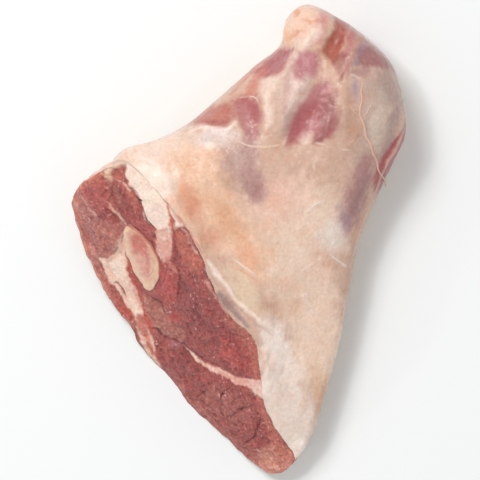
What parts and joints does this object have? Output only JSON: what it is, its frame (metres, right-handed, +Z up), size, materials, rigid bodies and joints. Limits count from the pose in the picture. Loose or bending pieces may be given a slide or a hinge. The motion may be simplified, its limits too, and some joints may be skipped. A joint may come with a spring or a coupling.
{
  "type": "lamb foreshank",
  "caption": "Raw lamb foreshank with its fat cover, lying flat, sawn aslant through the arm so that the muscles, the bone and its marrow show.",
  "frame": {"origin": "on the surface that the piece lies on, under the middle of its bounding box", "axes": "+Z up, +Y towards the far end of the shank, which is the piece's longest way, and +X to the right when it is seen from above with the far end away from the viewer"},
  "size_m": [0.1413, 0.1996, 0.0545],
  "materials": {
    "meat": "moist raw lamb: cream and pink fat and fascia over the skin, red muscle on the sawn face",
    "bone": "sawn cream bone, slightly moist",
    "marrow": "pink marrow, moist"
  },
  "bodies": {
    "root": {"shank_meat": "meat", "arm_bone": "bone", "bone_marrow": "marrow"}
  },
  "joints": []
}
